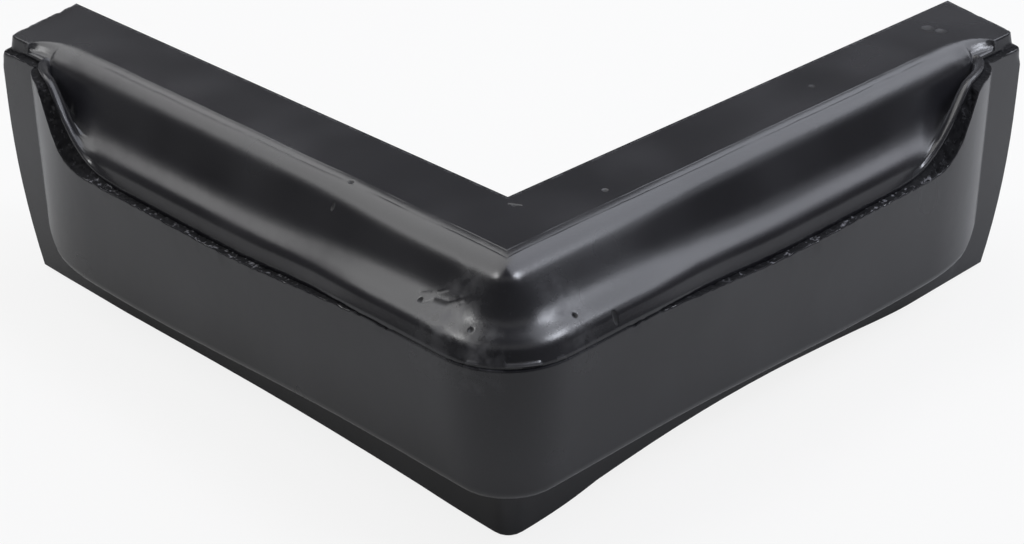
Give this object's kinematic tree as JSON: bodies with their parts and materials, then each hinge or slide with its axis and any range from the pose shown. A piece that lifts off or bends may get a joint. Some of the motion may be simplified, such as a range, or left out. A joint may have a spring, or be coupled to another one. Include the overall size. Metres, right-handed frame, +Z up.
{
  "type": "dock corner bumper",
  "caption": "One-piece moulded L-shaped bumper that wraps the outer corner of a dock, with a raised contact pad, a cove below its top edge and flat dock-side faces.",
  "frame": {"origin": "centre of the bounding box seen from above, at the height of the lowest point of the underside", "axes": "+Z up; the arms run along +X and +Y from the inner corner, so the dock fills the quadrant towards +X +Y and the rounded contact corner points towards -X -Y"},
  "size_m": [0.305, 0.305, 0.0965],
  "materials": {
    "bumper_body": "smooth moulded black skin with a soft sheen and a rough trimmed parting line"
  },
  "bodies": {
    "root": {"bumper_body": "bumper_body"}
  },
  "joints": []
}
